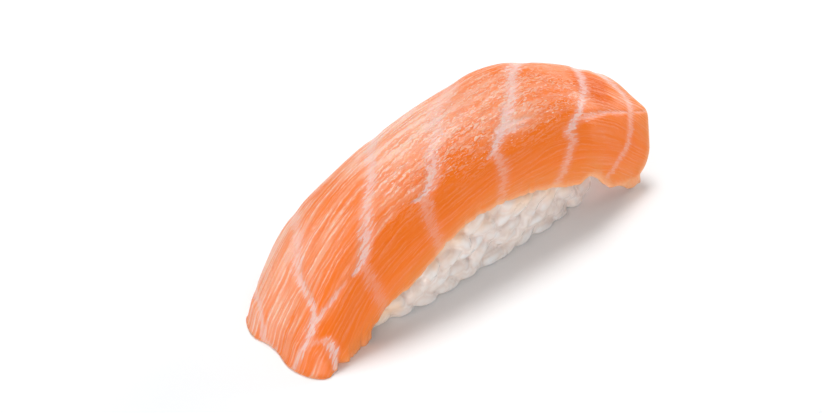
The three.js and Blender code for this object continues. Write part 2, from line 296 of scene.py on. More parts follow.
def underside(along, across):
    """Points of the slice's underside, which lies flat where the slice reaches the surface it rests on."""
    top = upper_face(along, across)
    points = top - upper_normal(along, across) * thickness(along, across)[..., None]
    settle = smoothstep(top[..., 2], RESTING_HEIGHT, 2 * RESTING_HEIGHT)
    points[..., 2] = np.maximum(0, points[..., 2] * settle)
    return points


def recentring():
    """How far the slice's own frame is moved so that the middle of its base is at the origin."""
    along, across = np.meshgrid(np.linspace(0, 1, 61), np.linspace(-1, 1, 23), indexing="ij")
    rim = np.concatenate([upper_face(along, across), underside(along, across)]).reshape(-1, 3)
    middle = (rim.min(0) + rim.max(0)) / 2
    return np.array([-middle[0], -middle[1], -rim[:, 2].min()])


SHIFT = recentring()


# ---- The slice's fat lines and fibres ----


def fat_line_path(route, steps=90):
    """Points along one fat line on the upper face, with its half width and whiteness at each."""
    values = np.array(route, float)
    place = np.linspace(0, 1, steps)
    x, across, half_width, whiteness = (at_station(column, place) for column in values.T)
    left, right = end_places(across)
    along = np.clip((x - left) / (right - left), 0, 1)
    return upper_face(along, np.clip(across, -1, 1)), half_width * FAT_LINE_FINENESS, whiteness


def fat_fields(points):
    """For each point, how deep it lies in the nearest fat line (1 at its middle, 0 at its side, negative
    outside it), and how white that line is there."""
    depth = np.full(len(points), -2.0)
    white = np.zeros(len(points))
    for route in FAT_LINES:
        path, half_width, whiteness = fat_line_path(route)
        distance = np.linalg.norm(points[:, None] - path[None], axis=-1)
        inside = 1 - distance / half_width
        best = inside.argmax(1)
        rows = np.arange(len(points))
        deeper = inside[rows, best] > depth
        depth[deeper] = inside[rows, best][deeper]
        white[deeper] = whiteness[best][deeper]
    return depth, white


def fibre_height(u, v):
    """Low ridges that run along the muscle fibres, from -1 to 1. u is along a fibre and v across it."""
    bend = 0.9 * smooth_noise(u / 16, v / 9, 3) + 0.3 * smooth_noise(u / 5, v / 3, 7)
    broad = smooth_noise(u / 12, (v + bend) / 1.1, 11)
    fine = smooth_noise(u / 6, (v + bend) / 0.5, 17)
    return 0.45 * broad + 0.55 * fine


def flake_height(u, v):
    """Short broken flakes, as wet flesh has where the knife dragged, from -1 to 1."""
    bend = 0.8 * smooth_noise(u / 2.5, v / 2.5, 23)
    large = smooth_noise((u + bend) / 1.8, (v + bend) / 0.8, 29)
    small = smooth_noise((u - bend) / 0.9, (v + bend) / 0.5, 31)
    return 0.6 * large + 0.4 * small


def patch(x, across, middle_x, middle_across, half_length, half_width):
    """A soft-edged patch of the upper face: 1 in its middle and 0 outside it."""
    distance = ((x - middle_x) / half_length) ** 2 + ((across - middle_across) / half_width) ** 2
    return np.exp(-(distance**1.5))


def flaky_share(x, across):
    """Where the flesh is flaky: over the middle of the upper face."""
    return patch(x, across, *FLAKY_PATCH)


def pale_tone_and_painted_light(x, across):
    """How much paler than its surroundings the flesh is, partly tone and partly painted sheen, or deeper
    where this is negative, partly painted shade.
    """
    return sum(strength * patch(x, across, *place) for *place, strength in TONE_AND_PAINTED_LIGHT_PATCHES)


# ---- The slice as a piece ----


def make_slice():
    """The slice: a grid is extruded to a closed sheet, then both its faces are draped over the rice."""
    deselect_all()
    bpy.ops.mesh.primitive_grid_add(
        x_subdivisions=SLICE_STEPS_ALONG, y_subdivisions=SLICE_STEPS_ACROSS, size=2
    )
    piece = bpy.context.object
    piece.name = "draped_salmon"
    bpy.ops.object.mode_set(mode="EDIT")
    bpy.ops.mesh.select_all(action="SELECT")
    bpy.ops.mesh.extrude_region_move(TRANSFORM_OT_translate={"value": (0, 0, 1)})
    bpy.ops.object.mode_set(mode="OBJECT")

    flat = read_points(piece.data)
    is_top = flat[:, 2] > 0.5
    along = (flat[:, 0] + 1) / 2
    across = 1.25 * flat[:, 1] - 0.25 * flat[:, 1] ** 3  # closer steps at the long edges
    top = upper_face(along, across)
    bottom = underside(along, across)
    left, right = end_places(across)
    bottom[:, 2] *= smoothstep(top[:, 0] - left, *LEFT_END_SETTLE)
    normal = upper_normal(along, across)

    u, v, from_rim = fibre_places(flat, top)
    depth, white = fat_fields(top)
    flaky = flaky_share(top[:, 0], across)
    inner = smoothstep(from_rim, RELIEF_START, RELIEF_FULL)
    relief = -VALLEY_DEPTH * smoothstep(depth, -0.8, 0.8) * white
    relief += FIBRE_RELIEF * fibre_height(u, v)
    relief += FLAKE_RELIEF * flaky * flake_height(u, v)
    top = top + normal * (relief * inner)[:, None]

    # Both faces close in on a rim line, round at the long edges and as a wedge at the left end.
    lifted = smoothstep(bottom[:, 2], *FOOT_HEIGHTS)
    foot = np.stack([top[:, 0], top[:, 1], bottom[:, 2]], -1)
    rim_line = lerp(foot, (top + bottom) / 2, lifted[:, None])
    roundness = np.linalg.norm(top - rim_line, axis=-1)
    into = np.clip(from_rim / np.maximum(roundness, 0.1), 0, 1)
    rounded = np.sqrt(1 - (1 - into) ** 2)
    wedge = smoothstep(from_rim, 0, LEFT_WEDGE) ** LEFT_WEDGE_POWER
    at_left = 1 - smoothstep(top[:, 0] - left, 0.5 * LEFT_WEDGE, 2 * LEFT_WEDGE)
    fullness = np.maximum(lerp(rounded, wedge, at_left), LEAST_FULLNESS)[:, None]
    points = rim_line + (np.where(is_top[:, None], top, bottom) - rim_line) * fullness
    points += ragged_edge(u, across, from_rim)
    to_right = smoothstep(top[:, 0] - right, -RIGHT_END_LENGTH, 0)
    for middle, half_width, reach in RIGHT_CORNERS:
        points[:, 0] += reach * bell(across, middle, half_width) * to_right
    points[:, 2] -= RIGHT_DIP_DEPTH * bell(across, RIGHT_DIP_ACROSS, RIGHT_DIP_HALF_WIDTH) * to_right
    points[:, 2] = np.maximum(points[:, 2], 0)

    write_points(piece.data, (points + SHIFT) * MM)
    sturdy = np.maximum(STURDY_LEFT_END * at_left, smoothstep(-top[:, 0], *STURDY_LEFT))
    finish = {
        "fat_depth": np.clip(depth, -2, 1),
        "fat_white": white,
        "flaky": flaky * is_top,
        # pale: the flesh's paler tone with painted sheen, and where negative its deeper tone with painted
        # shade
        "pale": pale_tone_and_painted_light(top[:, 0], across),
        # from_rim, with the sturdy places added, also sets where the painted rim glow fades
        "from_rim": from_rim + sturdy,
        "near_side": smoothstep(-across, *NEAR_SIDE_DOWN) * smoothstep(top[:, 0], *NEAR_SIDE_X),
        "thin": smoothstep(-across, *THIN_DOWN) + smoothstep(top[:, 0], *THIN_X),
    # thin: where the painted glow of light through thin flesh goes
    }
    write_attributes(piece.data, finish)
    fibre_map(piece.data, u, v)
    outward_normals(piece)
    shade_smooth(piece.data)
    return piece


def fibre_places(flat, top):
    """Each point's place along the fibres and across them, and its distance from the slice's rim."""
    order = np.lexsort((flat[:, 1], flat[:, 0], flat[:, 2]))
    shape = (2, SLICE_STEPS_ALONG + 1, SLICE_STEPS_ACROSS + 1)
    rows = top[order].reshape(*shape, 3)
    steps = np.linalg.norm(np.diff(rows, axis=2), axis=-1)
    walked = np.concatenate([np.zeros((*shape[:2], 1)), steps.cumsum(2)], 2)
    whole = walked[..., -1:]
    ridge = walked[..., SLICE_STEPS_ACROSS // 2, None]
    along_steps = np.linalg.norm(np.diff(rows, axis=1), axis=-1)
    gone = np.concatenate([np.zeros((2, 1, shape[2])), along_steps.cumsum(1)], 1)
    to_end = np.minimum(gone, gone[:, -1:] - gone)
    from_rim = np.minimum(np.minimum(walked, whole - walked), to_end)
    place = np.empty(len(flat), int)
    place[order] = np.arange(len(flat))
    u = top[:, 0]
    turn_down = FIBRE_DROP * np.clip((u - FIBRE_DROP_START) / FIBRE_DROP_LENGTH, 0, 1) ** 2
    return u, np.ravel(walked - ridge)[place] + turn_down, np.ravel(from_rim)[place]


def ragged_edge(u, across, from_rim):
    """Small shifts of the thin long edges, in, out, up and down."""
    closeness = np.exp(-from_rim / EDGE_PULL) * smoothstep(np.abs(across), *EDGE_BAND)
    side = np.sign(across)
    near = side < 0
    row = side * 5  # the two edges take their noise from places far apart
    waver = smooth_noise(u / 2.2, row, 41) + 0.6 * smooth_noise(u / 0.9, row, 43)
    nick = np.maximum(smooth_noise(u / 2.6, row, 53) - 0.2, 0)
    beside_tongue = bell(u, TONGUE_NICK_X, TONGUE_NICK_HALF_LENGTH) * near
    nick += TONGUE_NICK_DEPTH / EDGE_NICK * beside_tongue
    teeth = smooth_noise(u / 0.8, row, 59) * bell(u, TORN_EDGE_X, TORN_EDGE_HALF_LENGTH)
    inward = EDGE_WAVER * (0.6 + waver) + EDGE_NICK * nick + TORN_EDGE_DEPTH * teeth * near
    shift = np.zeros((len(u), 3))
    shift[:, 1] = -side * closeness * inward
    shift[:, 2] = 0.8 * EDGE_WAVER * closeness * smooth_noise(u / 1.7, row, 47)
    for middle, half_length, held_in, held_up in LIFTED_EDGES:
        lift = closeness * bell(u, middle, half_length) * near
        shift[:, 1] += held_in * lift
        shift[:, 2] += held_up * lift
    return shift


def fibre_map(mesh, u, v):
    """A UV map that follows the fibres, with its middle at the middle of the ridge."""
    layer = mesh.uv_layers.new(name="fibres")
    corners = np.empty(len(mesh.loops), int)
    mesh.loops.foreach_get("vertex_index", corners)
    places = (np.stack([u[corners], v[corners]], -1) + MAP_UNIT / 2) / MAP_UNIT
    layer.data.foreach_set("uv", np.ravel(places).astype(np.float32))


# ---- The rice's driving dimensions, in millimetres ----
RICE_MIDDLE_X = 1.5
RICE_HALF_LENGTH = 31
RICE_HALF_WIDTH = 10.6
RICE_PLAN_POWER = 4  # a rounded rectangle seen from above
RICE_TOP_POWER = 6  # its upper end corners are rounded less
GAP = 0.3  # between the rice's core and the slice
RICE_ROWS = 36
RICE_ARC_STEPS = 24
RICE_CORE_INSET = 0.7  # how far the core's walls stay behind the outer grains' line
RICE_VOXEL = 0.29  # how finely the stuck grains are fused
RICE_SOFTENING = 11  # how many times the fused grains are smoothed

GRAIN_LENGTH = 6.2
GRAIN_WIDTH = 2.9
GRAIN_DEPTH = 2.5
GRAIN_PITCH_ALONG = 5.1
GRAIN_PITCH_UP = 2.7
GRAIN_SINK = 0.35  # how far a grain's middle lies inside the core's wall
GRAIN_CLEARANCE = 0.75  # how near a grain may come to the slice's faces
GRAIN_SWELL = 1.18  # the grains are this much plumper than their pressed size
GRAIN_SEED = 7
GRAIN_TILT = 0.35  # how far a grain's face turns up or down, as a slope
GRAIN_LEAN = 1.8  # how far its long axis leans, in radians
GRAIN_SCATTER_UP = 0.8  # how far it is moved up or down from its row
GRAIN_SCATTER_SIDE = 0.6  # how far it is moved along its own width
# The least share of its length, of its width and depth, and of its sink, and how much is added at most.
GRAIN_LEAST_LENGTH, GRAIN_MORE_LENGTH = 0.85, 0.3
GRAIN_LEAST_SIZE, GRAIN_MORE_SIZE = 0.88, 0.24
GRAIN_LEAST_SINK, GRAIN_MORE_SINK = 0.6, 0.8
GRAIN_BLUNTNESS, GRAIN_BEND = 0.1, 0.07  # of a grain of unit size
ROW_STAGGER = 0.4  # how far each row is shifted past the one below it, in pitches
# A second layer of grains fills the gaps between the outer ones.
INNER_PITCH_ALONG, INNER_PITCH_UP = 3.9, 2.1
INNER_SINK, INNER_CLEARANCE = 1.5, 0.3
INNER_LOWEST = 1.0  # the height of its lowest row
INNER_SEED = 11


def point_under_slice(x, across):
    """Points just under the slice at a given x. The place along it is corrected until they lie there."""
    along = x / SLICE_LENGTH + 0.5
    for _ in range(4):
        points = underside(along, across) - upper_normal(along, across) * GAP
        along = along + (x - points[..., 0]) / SLICE_LENGTH
    return points


def make_core():
    """The rice's bare core, fitted under the slice: a grid is rolled into its cross-sections and closed."""
    deselect_all()
    ring = RICE_ARC_STEPS + 3
    bpy.ops.mesh.primitive_grid_add(x_subdivisions=RICE_ROWS, y_subdivisions=ring, size=2)
    core = bpy.context.object
    core.name = "rice_core"
    flat = read_points(core.data)
    end = 0.99 * np.sin(flat[:, 0] * math.pi / 2)
    place = np.rint((flat[:, 1] + 1) / 2 * ring) % ring  # 0 and the last but one are the feet
    across = np.clip(2 * (place - 1) / RICE_ARC_STEPS - 1, -1, 1)
    points = point_under_slice(RICE_MIDDLE_X + end * (RICE_HALF_LENGTH - RICE_CORE_INSET), across)
    reach = RICE_HALF_WIDTH - RICE_CORE_INSET
    reach = reach * (1 - np.abs(end) ** RICE_PLAN_POWER) ** (1 / RICE_PLAN_POWER)
    points[:, 1] = np.clip(points[:, 1], -reach, reach)
    points[:, 2] *= (1 - np.abs(end) ** RICE_TOP_POWER) ** (1 / RICE_TOP_POWER)
    points[(place == 0) | (place == ring - 1), 2] = 0
    write_points(core.data, points)
    bpy.ops.object.mode_set(mode="EDIT")
    bpy.ops.mesh.select_all(action="SELECT")
    bpy.ops.mesh.remove_doubles(threshold=0.001)
    bpy.ops.mesh.fill_holes(sides=0)
    bpy.ops.object.mode_set(mode="OBJECT")
    outward_normals(core)
    return core


class Random:
    """Seeded random numbers, the same on every run."""

    def __init__(self, seed):
        self.state = seed

    def next(self):
        """The next number, from 0 to 1."""
        self.state = (self.state * 1664525 + 1013904223) % 4294967296
        return self.state / 4294967296

    def shift(self, spread):
        """The next number, from half the spread below 0 to half of it above."""
        return spread * (self.next() - 0.5)

    def more_than(self, least, more):
        """The least value with the next share of more added to it."""
        return least + more * self.next()


def plan_point(angle):
    """A point of the core's outline seen from above, by its angle round the block."""
    cosine, sine = math.cos(angle), math.sin(angle)
    power = 2 / RICE_PLAN_POWER
    x = RICE_MIDDLE_X + RICE_HALF_LENGTH * math.copysign(abs(cosine) ** power, cosine)
    y = RICE_HALF_WIDTH * math.copysign(abs(sine) ** power, sine)
    return Vector((x, y))


def wall_steps(start, pitch):
    """Even steps round the core's outline, the first one start short: each has its place and its way out."""
    count = 720
    outline = [plan_point(i / count * 2 * math.pi) for i in range(count)]
    steps = []
    walked = start
    for i in range(count):
        following = outline[(i + 1) % count]
        side = following - outline[i]
        walked += side.length
        if walked >= pitch:
            walked -= pitch
            steps.append((following, Vector((side.y, -side.x)).normalized()))
    return steps


def slice_samples():
    """Points spread over the slice's faces, in a tree, to keep the grains clear of it."""
    along, across = np.meshgrid(np.linspace(0, 1, 101), np.linspace(-1, 1, 51), indexing="ij")
    points = np.concatenate([underside(along, across), upper_face(along, across)]).reshape(-1, 3)
    tree = kdtree.KDTree(len(points))
    for number, point in enumerate(points):
        tree.insert(point, number)
    tree.balance()
    return tree


def grain_rows(seed, pitch_along, pitch_up, sink, lowest, highest):
    """The poses of the grains on the block's walls, in rows that run round it."""
    random = Random(seed)
    poses = []
    start = 0
    height = lowest
    while height < highest:
        start = (start + ROW_STAGGER * pitch_along) % pitch_along
        for place, outward in wall_steps(start, pitch_along):
            out = Vector((outward.x, outward.y, random.shift(GRAIN_TILT))).normalized()
            lean = random.shift(GRAIN_LEAN)
            level = Vector((-outward.y, outward.x, 0))
            axis = level * math.cos(lean) + Vector((0, 0, math.sin(lean)))
            side = axis.cross(out).normalized()
            face = side.cross(axis)
            spot = Vector((place.x, place.y, height + random.shift(GRAIN_SCATTER_UP)))
            spot -= out * sink * random.more_than(GRAIN_LEAST_SINK, GRAIN_MORE_SINK)
            spot += side * GRAIN_SCATTER_SIDE * random.shift(1)
            size = random.more_than(GRAIN_LEAST_SIZE, GRAIN_MORE_SIZE)
            length = random.more_than(GRAIN_LEAST_LENGTH, GRAIN_MORE_LENGTH)
            turn = Matrix((side, axis, face)).transposed().to_4x4()
            stretch = Matrix.Diagonal((GRAIN_WIDTH * size, GRAIN_LENGTH * length, GRAIN_DEPTH * size, 1))
            poses.append(Matrix.Translation(spot) @ turn @ stretch)
        height += pitch_up
    return poses


def clear_of_slice(pose, samples, clearance):
    """Whether the corners of a simple grain with this pose keep this distance from the slice's faces."""
    sides, rings = 5, 4
    for ring in range(rings + 1):
        for side in range(sides):
            around, down = 2 * math.pi * side / sides, math.pi * ring / rings
            out = 0.5 * math.sin(down)
            corner = pose @ Vector((-out * math.cos(around), 0.5 * math.cos(down), out * math.sin(around)))
            if samples.find(corner)[2] < clearance:
                return False
    return True


def make_grain():
    """One plump rice grain of unit size, a little blunt at its ends and flatter on one side."""
    deselect_all()
    bpy.ops.mesh.primitive_uv_sphere_add(segments=10, ring_count=7, radius=0.5)
    grain = bpy.context.object
    points = read_points(grain.data)
    x, y, z = points.T.copy()
    blunt = 1 + GRAIN_BLUNTNESS * np.abs(2 * z) ** 3
    bent = GRAIN_BEND * ((2 * z) ** 2 - 0.4)
    write_points(grain.data, np.stack([x * blunt, z, bent - y * blunt], -1))
    return grain


def grain_fields(points, poses):
    """For each point, how far it is from the seam between two grains, and the tone of its own grain."""
    spots = (-0.3, 0, 0.3)  # along each grain
    tree = kdtree.KDTree(len(spots) * len(poses))
    for number, pose in enumerate(poses):
        for spot in spots:
            tree.insert(pose @ Vector((0, spot, 0)), number)
    tree.balance()
    seam, tone = [], []
    for point in points:
        found = tree.find_n(point, 6)
        own, nearest = found[0][1], found[0][2]
        others = [distance for _, number, distance in found if number != own]
        seam.append(others[0] - nearest if others else 1)
        tone.append(own * 0.618 % 1)
    return seam, tone


def make_rice():
    """The pressed rice: grains laid over the core's walls, flattened where they stand on the surface."""
    core = make_core()
    grain = make_grain()
    pattern = read_points(grain.data) * np.array([GRAIN_SWELL, 1, GRAIN_SWELL])
    samples = slice_samples()
    highest = max(FAR_EDGE_HEIGHT + NEAR_EDGE_HEIGHT) + GRAIN_PITCH_UP
    outer = grain_rows(
        GRAIN_SEED, GRAIN_PITCH_ALONG, GRAIN_PITCH_UP, GRAIN_SINK, GRAIN_DEPTH / 2, highest
    )
    inner = grain_rows(INNER_SEED, INNER_PITCH_ALONG, INNER_PITCH_UP, INNER_SINK, INNER_LOWEST, highest)
    poses = [pose for pose in outer if clear_of_slice(pose, samples, GRAIN_CLEARANCE)]
    poses += [pose for pose in inner if clear_of_slice(pose, samples, INNER_CLEARANCE)]
    parts = [core]
    for pose in poses:
        copy = grain.copy()
        copy.data = grain.data.copy()
        bpy.context.collection.objects.link(copy)
        points = pattern @ np.array(pose.to_3x3()).T + np.array(pose.translation)
        points[:, 2] = np.maximum(points[:, 2], 0)
        write_points(copy.data, points)
        parts.append(copy)
    bpy.data.objects.remove(grain)
    deselect_all()
    for part in parts:
        part.select_set(True)
    bpy.context.view_layer.objects.active = core
    bpy.ops.object.join()
    core.name = "sushi_rice"
    apply_modifier(core, "sticky starch", "REMESH", mode="VOXEL", voxel_size=RICE_VOXEL)
    apply_modifier(core, "soft seams", "SMOOTH", iterations=RICE_SOFTENING)
    points = read_points(core.data)
    from_slice = [samples.find(point)[2] for point in points]
    from_seam, tone = grain_fields(points, poses)
    write_points(core.data, (points + SHIFT) * MM)
    finish = {"from_slice": from_slice, "from_seam": from_seam, "grain_tone": tone}
    write_attributes(core.data, finish)
    shade_smooth(core.data)
    return core


# ---- Shader helpers ----


def fill_inputs(tree, node, inputs):
    """Each input is set to a value or linked from a socket."""
    for name, value in inputs.items():
        if isinstance(value, bpy.types.NodeSocket):
            tree.links.new(value, node.inputs[name])
        else:
            node.inputs[name].default_value = value


def add_node(tree, kind, inputs=None, **settings):
    """A node with its settings and its inputs."""
    node = tree.nodes.new(kind)
    for name, value in settings.items():
        setattr(node, name, value)
    fill_inputs(tree, node, inputs or {})
    return node


def maths(tree, operation, first, second=0.0, clamp=False):
    node = add_node(tree, "ShaderNodeMath", {0: first, 1: second}, operation=operation, use_clamp=clamp)
    return node.outputs[0]


def times(tree, first, second, clamp=False):
    return maths(tree, "MULTIPLY", first, second, clamp)


def plus(tree, first, second, clamp=False):
    return maths(tree, "ADD", first, second, clamp)


def ramp(tree, value, low, high, start=0.0, end=1.0):
    """A smooth step from start to end as value goes from low to high."""
    inputs = {"Value": value, "From Min": low, "From Max": high, "To Min": start, "To Max": end}
    node = add_node(tree, "ShaderNodeMapRange", inputs, interpolation_type="SMOOTHSTEP")
    return node.outputs["Result"]


def blend_colours(tree, factor, first, second):
    inputs = {0: factor, 6: first, 7: second}
    return add_node(tree, "ShaderNodeMix", inputs, data_type="RGBA").outputs[2]


def attribute(tree, name):
    return add_node(tree, "ShaderNodeAttribute", attribute_name=name).outputs["Fac"]


def cloudy_noise(tree, place, scale, detail=2.0):
    inputs = {"Vector": place, "Scale": scale, "Detail": detail}
    return add_node(tree, "ShaderNodeTexNoise", inputs).outputs["Fac"]


def stretched_noise(tree, place, length, width, detail=2.0, warp=0.0):
    """Noise on the map of the fibres, with features of a length and a width in millimetres."""
    stretch = {"Vector": place, "Scale": (MAP_UNIT / length, MAP_UNIT / width, 1)}
    stretched = add_node(tree, "ShaderNodeMapping", stretch, vector_type="POINT").outputs[0]
    inputs = {"Vector": stretched, "Scale": 1.0, "Detail": detail, "Distortion": warp}
    return add_node(tree, "ShaderNodeTexNoise", inputs, noise_dimensions="2D").outputs["Fac"]


def fibre_phase(tree, place, spacing, waver):
    """A phase that runs from 0 to 1 once for each spacing in millimetres across the fibres, and strays by as
    many spacings as waver says."""
    apart = add_node(tree, "ShaderNodeSeparateXYZ", {"Vector": place}).outputs["Y"]
    drift = times(tree, stretched_noise(tree, place, 14, 3, 2), waver)
    return maths(tree, "FRACT", plus(tree, times(tree, apart, MAP_UNIT / spacing), drift))


def fibre_lines(tree, phase, middle, half_width):
    """Soft lines along the fibres, one where the phase is at its middle."""
    distance = maths(tree, "ABSOLUTE", maths(tree, "SUBTRACT", phase, middle))
    return ramp(tree, distance, half_width, 0.0)


def make_wet_film():
    """A shared effect: moisture in patches, smoother where it is wet, with low beads for a bump."""
    group = bpy.data.node_groups.new("wet_film", "ShaderNodeTree")
    for name, kind in (("Place", "Vector"), ("Patch Scale", "Float"), ("Damp", "Float"), ("Wet", "Float")):
        group.interface.new_socket(name=name, in_out="INPUT", socket_type="NodeSocket" + kind)
    for name in ("Roughness", "Height"):
        group.interface.new_socket(name=name, in_out="OUTPUT", socket_type="NodeSocketFloat")
    inside = group.nodes.new("NodeGroupInput").outputs
    patches = cloudy_noise(group, inside["Place"], inside["Patch Scale"])
    beads = cloudy_noise(group, inside["Place"], times(group, inside["Patch Scale"], 6.0))
    wetness = ramp(group, patches, 0.4, 0.62)
    inputs = {"Value": wetness, "To Min": inside["Damp"], "To Max": inside["Wet"]}
    roughness = add_node(group, "ShaderNodeMapRange", inputs).outputs["Result"]
    out = group.nodes.new("NodeGroupOutput").inputs
    group.links.new(roughness, out["Roughness"])
    group.links.new(times(group, ramp(group, beads, 0.5, 0.7), wetness), out["Height"])
    return group


def add_wet_film(tree, place, patch_scale, damp, wet):
    """The shared film in one material: its roughness goes from damp to wet."""
    inputs = {"Place": place, "Patch Scale": patch_scale, "Damp": damp, "Wet": wet}
    node = add_node(tree, "ShaderNodeGroup", inputs, node_tree=WET_FILM)
    return node.outputs["Roughness"], node.outputs["Height"]


def new_material(name):
    material = bpy.data.materials.new(name)
    material.use_nodes = True
    tree = material.node_tree
    return material, tree, tree.nodes["Principled BSDF"]


def salmon_flesh():
    """Raw salmon: deep orange muscle with pale fibre streaks, white fat lines and a wet surface."""
    material, tree, shader = new_material("salmon_flesh")
    place = add_node(tree, "ShaderNodeUVMap", uv_map="fibres").outputs[0]
    near_side = attribute(tree, "near_side")
    flaky = attribute(tree, "flaky")
    patch_tone_and_light = attribute(tree, "pale")

    # The fibres sway slowly, and are kinked most where the flesh is flaky.
    sway = {0: stretched_noise(tree, place, 16, 8, 1), 1: (0, FIBRE_WAVE / MAP_UNIT, 0), 2: place}
    waved = add_node(tree, "ShaderNodeVectorMath", sway, operation="MULTIPLY_ADD").outputs[0]
    kinks = maths(tree, "SUBTRACT", stretched_noise(tree, place, 1.5, 0.9, 2), 0.5)
    kinks = times(tree, kinks, ramp(tree, flaky, 0.0, 0.8, 0.35, 1.6))
    kinked = add_node(tree, "ShaderNodeCombineXYZ", {"Y": times(tree, kinks, 1 / MAP_UNIT)})
    waved = {0: waved, 1: kinked.outputs[0]}
    waved = add_node(tree, "ShaderNodeVectorMath", waved, operation="ADD").outputs[0]

    # Bundles of fibres with a groove beside each, and finer threads, both of which come and go.
    phase = fibre_phase(tree, waved, 0.95, 2.0)
    bundles = fibre_lines(tree, phase, 0.35, 0.27)
    grooves = fibre_lines(tree, phase, 0.7, 0.27)
    threads = fibre_lines(tree, fibre_phase(tree, waved, 0.7, 3.0), 0.35, 0.22)
    comings = ramp(tree, stretched_noise(tree, place, 10, 2.2, 3), 0.4, 0.6, 0.15, 1.0)
    goings = ramp(tree, stretched_noise(tree, place, 5, 1.1, 2), 0.42, 0.62)
    fine = stretched_noise(tree, waved, 4, 0.4, 3)
    grit = stretched_noise(tree, place, 0.9, 0.35, 2)
    grooves = times(tree, grooves, comings)
    lines = times(tree, bundles, comings)
    faint = times(tree, goings, 0.5)
    lines = maths(tree, "MAXIMUM", lines, times(tree, threads, faint))
    gaps = ramp(tree, flaky, 0.0, 0.8, 0.5, 0.0)
    lines = times(tree, lines, ramp(tree, grit, 0.42, 0.55, gaps))

    # Broad soft bands everywhere, and flecks, painted shade in hollows and painted sparkles of light where
    # the flesh is flaky.
    soft = ramp(tree, stretched_noise(tree, waved, 12, 1.4, 3), 0.4, 0.7)
    flecks = ramp(tree, stretched_noise(tree, place, 1.9, 0.55, 3, 1.2), 0.54, 0.6)
    hollow_shade = ramp(tree, stretched_noise(tree, place, 2.1, 0.7, 2, 1.0), 0.45, 0.37)
    sparkles = ramp(tree, stretched_noise(tree, place, 1.1, 0.34, 1), 0.71, 0.8)
    clumps = ramp(tree, stretched_noise(tree, place, 6, 3, 1), 0.35, 0.55, 0.4, 1.0)
    flecks = times(tree, times(tree, flecks, flaky), clumps)

    # How light the muscle is: pale streaks, and pale patches that are partly painted sheen. Its lines are
    # fainter on the near side and where the flesh is deeper.
    gain = ramp(tree, near_side, 0.0, 1.0, 0.62, 0.15)
    gain = times(tree, gain, ramp(tree, patch_tone_and_light, -0.1, -0.8, 1.0, 0.5))
    light = times(tree, plus(tree, lines, times(tree, soft, 0.3)), gain)
    streaky = plus(tree, times(tree, soft, 0.35), times(tree, lines, 0.25))
    pale_tone_and_sheen = maths(tree, "MAXIMUM", patch_tone_and_light, 0.0)
    pale_tone_and_sheen = times(tree, pale_tone_and_sheen, plus(tree, 0.4, streaky))
    light = plus(tree, light, pale_tone_and_sheen)
    light = maths(tree, "MAXIMUM", light, times(tree, flecks, 0.85), clamp=True)

    # Each fat line has a white core, barbed along the fibres, and a soft halo.
    fat_depth = attribute(tree, "fat_depth")
    barbs = maths(tree, "SUBTRACT", stretched_noise(tree, waved, 1.8, 0.4, 3), 0.5)
    barbs = times(tree, barbs, 3.4)
    barbs = plus(tree, barbs, times(tree, lines, 0.3))
    fat_core = ramp(tree, plus(tree, fat_depth, barbs), 0.0, 0.6)
    fat_core = times(tree, fat_core, ramp(tree, grit, 0.35, 0.6, 0.7, 1.0))
    fat_halo = ramp(tree, fat_depth, -1.0, 0.8, 0.0, 0.35)
    fat_mask = maths(tree, "MAXIMUM", fat_core, fat_halo)
    fat_mask = times(tree, fat_mask, attribute(tree, "fat_white"))

    deep = (0.89, 0.18, 0.007, 1)
    painted_shade_colour = (0.82, 0.12, 0.004, 1)
    deepest_and_painted_shade = (0.75, 0.115, 0.004, 1)
    pale = (0.92, 0.585, 0.455, 1)
    fat = (0.84, 0.58, 0.53, 1)
    edge = (0.8, 0.24, 0.04, 1)
    painted_rim_glow = (0.86, 0.44, 0.24, 1)
    painted_glint = (0.9, 0.76, 0.68, 1)
    # Painted glow of light through thin flesh: the edge colour, yellower, near the near edge and at the right
    # end.
    thin = ramp(tree, fine, 0.35, 0.6, 0.7, 1.0)
    thin = times(tree, attribute(tree, "thin"), thin, clamp=True)
    colour = blend_colours(tree, times(tree, thin, 0.8), deep, edge)
    # Painted shade: the grooves beside the fibre bundles and the hollows where the flesh is flaky are
    # darkened, less on the near side.
    painted_shade_mask = times(tree, times(tree, hollow_shade, flaky), 0.6)
    groove_shade_strength = ramp(tree, near_side, 0.0, 1.0, 0.4, 0.12)
    painted_shade_mask = maths(tree, "MAXIMUM", painted_shade_mask, times(tree, grooves, groove_shade_strength))
    colour = blend_colours(tree, painted_shade_mask, colour, painted_shade_colour)
    # Deeper flesh where the patches are negative: partly its own tone and partly painted shade.
    colour = blend_colours(tree, ramp(tree, patch_tone_and_light, -0.1, -0.8, 0.0, 0.85), colour, deepest_and_painted_shade)
    colour = blend_colours(tree, light, colour, pale)
    colour = blend_colours(tree, fat_mask, colour, fat)
    # Painted glow of light through the thin rim: paler near the rim, where the edge is not sturdy.
    rim = ramp(tree, plus(tree, attribute(tree, "from_rim"), grit), 2.6, 0.5)
    colour = blend_colours(tree, times(tree, rim, 0.85), colour, painted_rim_glow)
    # Painted glints: small bright spots of light where the flesh is flaky.
    painted_glint_mask = times(tree, sparkles, ramp(tree, flaky, 0.1, 0.5))
    colour = blend_colours(tree, times(tree, painted_glint_mask, 0.75), colour, painted_glint)

